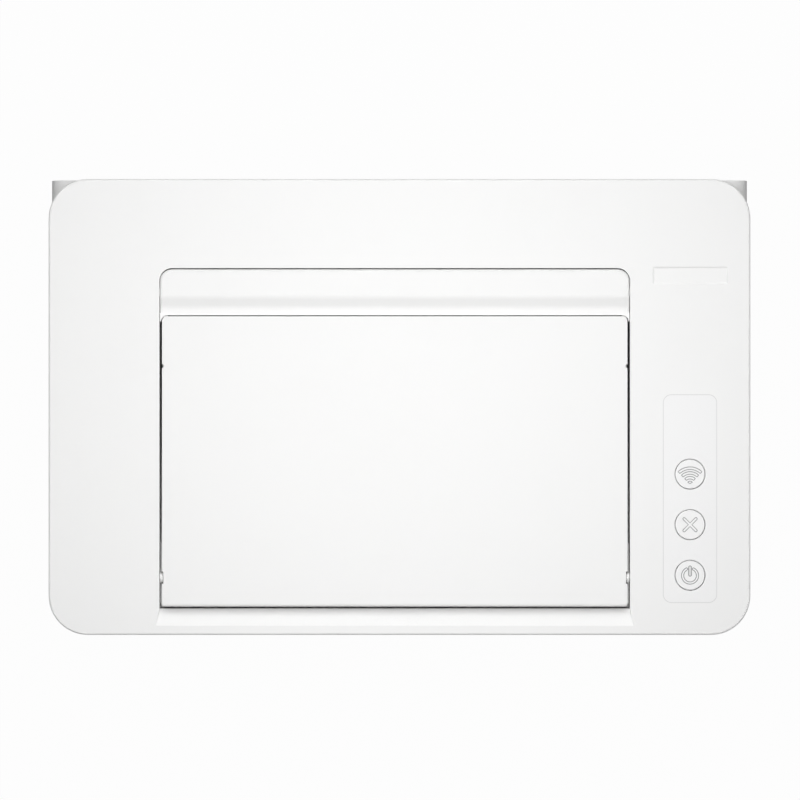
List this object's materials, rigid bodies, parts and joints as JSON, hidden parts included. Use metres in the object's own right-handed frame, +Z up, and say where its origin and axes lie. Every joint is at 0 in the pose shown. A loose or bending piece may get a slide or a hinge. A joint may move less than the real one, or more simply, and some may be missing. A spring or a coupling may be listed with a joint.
{
  "type": "laser printer",
  "caption": "Compact desktop laser printer with a paper flap over its top bin, a lifting bin door, a folding paper tray door and a strip of round keys.",
  "frame": {"origin": "middle of the footprint, on the surface the feet stand on", "axes": "+X to the right of someone facing the front door, +Y to the rear, +Z up"},
  "size_m": [0.331, 0.215, 0.1783],
  "materials": {
    "shell_white": "fine matt moulding",
    "button_white": "satin",
    "panel_film": "satin film",
    "base_grey": "matt moulding",
    "foot_rubber": "matt",
    "tray_grey": "matt moulding",
    "frame_metal": "zinc sheet",
    "spring_steel": "drawn wire",
    "screw_steel": "blackened",
    "shaft_steel": "ground",
    "roller_rubber": "ground rubber",
    "pressure_rubber": "silicone",
    "gear_white": "acetal",
    "cartridge_black": "grained",
    "drum_green": "coated",
    "heat_coating": "coated",
    "clear_glass": "clear",
    "mirror_metal": "polished",
    "scanner_black": "matt",
    "board_green": "solder mask",
    "motor_metal": "satin"
  },
  "bodies": {
    "printer": {"left_cover": "shell_white", "right_cover": "shell_white", "front_cover": "shell_white", "rear_cover": "shell_white", "top_frame": "shell_white", "control_overlay": "panel_film", "base_tray": "base_grey", "rubber_feet": "foot_rubber", "tray_floor": "tray_grey", "separation_pad": "tray_grey", "left_frame": "frame_metal", "right_frame": "frame_metal", "middle_frame": "frame_metal", "fuser_frame": "frame_metal", "drive_plate": "frame_metal", "lift_springs": "spring_steel", "cover_screws": "screw_steel", "toner_cartridge": "cartridge_black", "heat_lamp": "clear_glass", "scan_lens": "clear_glass", "scanner_case": "scanner_black", "scanner_lid": "scanner_black", "fan_frame": "scanner_black", "power_inlet": "scanner_black", "main_board": "board_green", "power_board": "board_green", "panel_board": "board_green", "drive_motor": "motor_metal"},
    "bin_door": {"top_door": "shell_white"},
    "paper_flap": {"output_flap": "shell_white"},
    "wireless_key": {"wireless_button": "button_white"},
    "cancel_key": {"cancel_button": "button_white"},
    "power_key": {"power_button": "button_white"},
    "front_door": {"tray_door": "shell_white"},
    "paper_support": {"tray_extension": "tray_grey"},
    "guide_left": {"left_guide": "tray_grey"},
    "guide_right": {"right_guide": "tray_grey"},
    "guide_gear": {"guide_pinion": "gear_white"},
    "lift": {"lift_plate": "frame_metal"},
    "back_door": {"rear_door": "shell_white"},
    "drum": {"photo_drum": "drum_green", "drum_gear": "gear_white"},
    "transfer": {"transfer_roller": "roller_rubber"},
    "feed": {"feed_roller": "roller_rubber"},
    "feed_pinch": {"feed_pinch_roller": "roller_rubber"},
    "pickup": {"pickup_shaft": "shaft_steel", "pickup_tyre": "foot_rubber"},
    "heater": {"heat_roller": "heat_coating", "fuser_gear": "gear_white"},
    "presser": {"pressure_roller": "pressure_rubber"},
    "exit_drive": {"exit_roller": "roller_rubber"},
    "exit_idle": {"exit_pinch_rollers": "roller_rubber"},
    "gear_main": {"main_gear": "gear_white"},
    "gear_fuser": {"fuser_idler_gear": "gear_white"},
    "gear_exit": {"exit_idler_gear": "gear_white"},
    "gear_feed": {"feed_idler_gear": "gear_white"},
    "gear_pickup": {"pickup_idler_gear": "gear_white"},
    "motor_gear": {"motor_pinion": "gear_white"},
    "scan_mirror": {"polygon_mirror": "mirror_metal"},
    "fan": {"fan_rotor": "scanner_black"}
  },
  "joints": [
    {"name": "top_door_hinge", "type": "hinge", "parent": "printer", "child": "bin_door", "pos_m": [0, 0.054, 0.1745], "axis": [-1, 0, 0], "range_deg": [0, 68]},
    {"name": "flap_hinge", "type": "hinge", "parent": "bin_door", "child": "paper_flap", "pos_m": [0, -0.0805, 0.174], "axis": [1, 0, 0], "range_deg": [0, 150]},
    {"name": "wireless_press", "type": "slide", "parent": "printer", "child": "wireless_key", "axis": [0, 0, -1], "range_m": [0, 0.0006], "stiffness_N_per_m": 400},
    {"name": "cancel_press", "type": "slide", "parent": "printer", "child": "cancel_key", "axis": [0, 0, -1], "range_m": [0, 0.0006], "stiffness_N_per_m": 400},
    {"name": "power_press", "type": "slide", "parent": "printer", "child": "power_key", "axis": [0, 0, -1], "range_m": [0, 0.0006], "stiffness_N_per_m": 400},
    {"name": "tray_door_hinge", "type": "hinge", "parent": "printer", "child": "front_door", "pos_m": [0, -0.1038, 0.0127], "axis": [1, 0, 0], "range_deg": [0, 90]},
    {"name": "support_slide", "type": "slide", "parent": "front_door", "child": "paper_support", "axis": [0, 0, 1], "range_m": [0, 0.055]},
    {"name": "left_guide_slide", "type": "slide", "parent": "printer", "child": "guide_left", "axis": [1, 0, 0], "range_m": [0, 0.067]},
    {"name": "right_guide_slide", "type": "slide", "parent": "printer", "child": "guide_right", "axis": [-1, 0, 0], "range_m": [0, 0.067]},
    {"name": "guide_pinion_spin", "type": "hinge", "parent": "printer", "child": "guide_gear", "pos_m": [-0.00225, -0.065, 0], "axis": [0, 0, 1], "continuous": true},
    {"name": "lift_hinge", "type": "hinge", "parent": "printer", "child": "lift", "pos_m": [0, -0.024, 0.01575], "axis": [1, 0, 0], "range_deg": [0, 17], "deforming": ["lift_springs"]},
    {"name": "rear_door_hinge", "type": "hinge", "parent": "printer", "child": "back_door", "pos_m": [0, 0.1041, 0.0257], "axis": [-1, 0, 0], "range_deg": [0, 75]},
    {"name": "drum_spin", "type": "hinge", "parent": "printer", "child": "drum", "pos_m": [0, 0.058, 0.092], "axis": [1, 0, 0], "continuous": true},
    {"name": "transfer_spin", "type": "hinge", "parent": "printer", "child": "transfer", "pos_m": [0, 0.07725, 0.092], "axis": [1, 0, 0], "continuous": true},
    {"name": "feed_spin", "type": "hinge", "parent": "printer", "child": "feed", "pos_m": [0, 0.06, 0.066], "axis": [1, 0, 0], "continuous": true},
    {"name": "feed_pinch_spin", "type": "hinge", "parent": "printer", "child": "feed_pinch", "pos_m": [0, 0.0772, 0.066], "axis": [1, 0, 0], "continuous": true},
    {"name": "pickup_spin", "type": "hinge", "parent": "printer", "child": "pickup", "pos_m": [0, 0.028, 0.048], "axis": [1, 0, 0], "continuous": true},
    {"name": "heat_spin", "type": "hinge", "parent": "printer", "child": "heater", "pos_m": [0, 0.0596, 0.126], "axis": [1, 0, 0], "continuous": true},
    {"name": "pressure_spin", "type": "hinge", "parent": "printer", "child": "presser", "pos_m": [0, 0.08, 0.126], "axis": [1, 0, 0], "continuous": true},
    {"name": "exit_spin", "type": "hinge", "parent": "printer", "child": "exit_drive", "pos_m": [0, 0.052, 0.147], "axis": [1, 0, 0], "continuous": true},
    {"name": "exit_pinch_spin", "type": "hinge", "parent": "printer", "child": "exit_idle", "pos_m": [0, 0.0515, 0.15625], "axis": [1, 0, 0], "continuous": true},
    {"name": "main_gear_spin", "type": "hinge", "parent": "printer", "child": "gear_main", "pos_m": [0, 0.02353, 0.09808], "axis": [1, 0, 0], "continuous": true},
    {"name": "fuser_idler_spin", "type": "hinge", "parent": "printer", "child": "gear_fuser", "pos_m": [0, 0.07067, 0.10875], "axis": [1, 0, 0], "continuous": true},
    {"name": "exit_idler_spin", "type": "hinge", "parent": "printer", "child": "gear_exit", "pos_m": [0, 0.0646, 0.14381], "axis": [1, 0, 0], "continuous": true},
    {"name": "feed_idler_spin", "type": "hinge", "parent": "printer", "child": "gear_feed", "pos_m": [0, 0.07072, 0.07788], "axis": [1, 0, 0], "continuous": true},
    {"name": "pickup_idler_spin", "type": "hinge", "parent": "printer", "child": "gear_pickup", "pos_m": [0, 0.04218, 0.06349], "axis": [1, 0, 0], "continuous": true},
    {"name": "motor_spin", "type": "hinge", "parent": "printer", "child": "motor_gear", "pos_m": [0, -0.00278, 0.10765], "axis": [1, 0, 0], "continuous": true},
    {"name": "mirror_spin", "type": "hinge", "parent": "printer", "child": "scan_mirror", "pos_m": [-0.00225, -0.0749, 0], "axis": [0, 0, 1], "continuous": true},
    {"name": "fan_spin", "type": "hinge", "parent": "printer", "child": "fan", "pos_m": [0, -0.05, 0.11], "axis": [1, 0, 0], "continuous": true}
  ],
  "couplings": [
    {"joint": "main_gear_spin", "follows": "drum_spin", "ratio": -0.59091},
    {"joint": "motor_spin", "follows": "drum_spin", "ratio": 2.1667},
    {"joint": "fuser_idler_spin", "follows": "drum_spin", "ratio": -1.625},
    {"joint": "heat_spin", "follows": "drum_spin", "ratio": 1.04},
    {"joint": "exit_idler_spin", "follows": "drum_spin", "ratio": -2.1667},
    {"joint": "exit_spin", "follows": "drum_spin", "ratio": 1.8571},
    {"joint": "feed_idler_spin", "follows": "drum_spin", "ratio": -2.1667},
    {"joint": "feed_spin", "follows": "drum_spin", "ratio": 1.3},
    {"joint": "pickup_idler_spin", "follows": "drum_spin", "ratio": -1.625},
    {"joint": "pickup_spin", "follows": "drum_spin", "ratio": 1},
    {"joint": "transfer_spin", "follows": "drum_spin", "ratio": -1.7143},
    {"joint": "pressure_spin", "follows": "drum_spin", "ratio": -1.04},
    {"joint": "feed_pinch_spin", "follows": "drum_spin", "ratio": -1.8014},
    {"joint": "exit_pinch_spin", "follows": "drum_spin", "ratio": -2.3214},
    {"joint": "right_guide_slide", "follows": "left_guide_slide", "ratio": 1},
    {"joint": "guide_pinion_spin", "follows": "left_guide_slide", "rad_per_m": 125}
  ]
}
